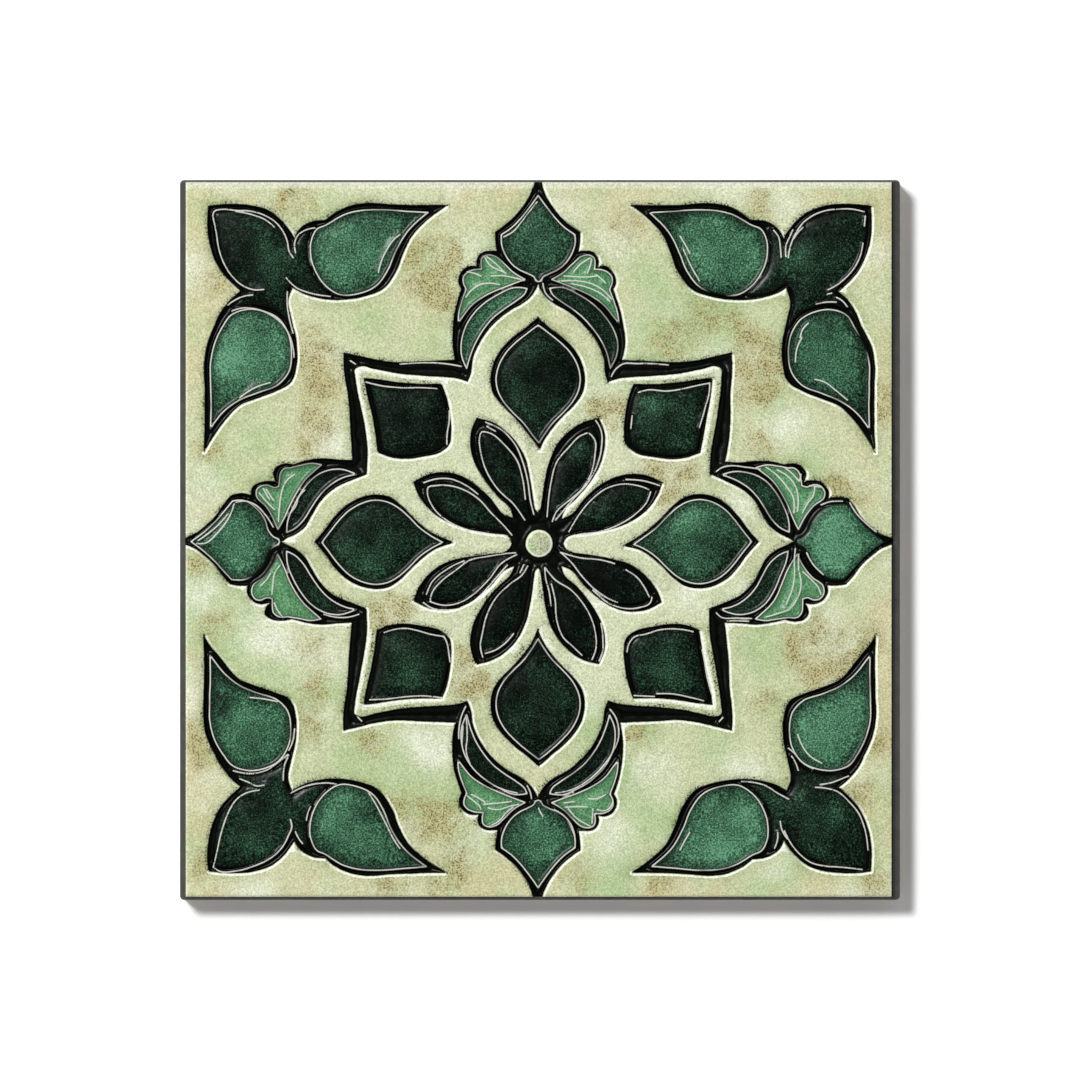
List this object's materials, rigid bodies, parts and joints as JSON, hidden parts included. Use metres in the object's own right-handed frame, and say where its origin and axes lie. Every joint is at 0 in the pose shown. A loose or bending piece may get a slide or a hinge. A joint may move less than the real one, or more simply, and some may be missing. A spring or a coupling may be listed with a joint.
{
  "type": "ceramic tile",
  "caption": "Square glazed wall tile with a moulded relief ornament: a rosette inside a pointed star frame, with leaf sprays in the corners.",
  "frame": {"origin": "centre of the flat back face", "axes": "+Z out of the decorated face; +X to the right and +Y up as the face is seen"},
  "size_m": [0.1524, 0.1524, 0.0099],
  "materials": {
    "glaze": "glossy mottled pale green glaze with dark green cells and near black channels, unglazed buff back"
  },
  "bodies": {
    "root": {"tile": "glaze"}
  },
  "joints": []
}
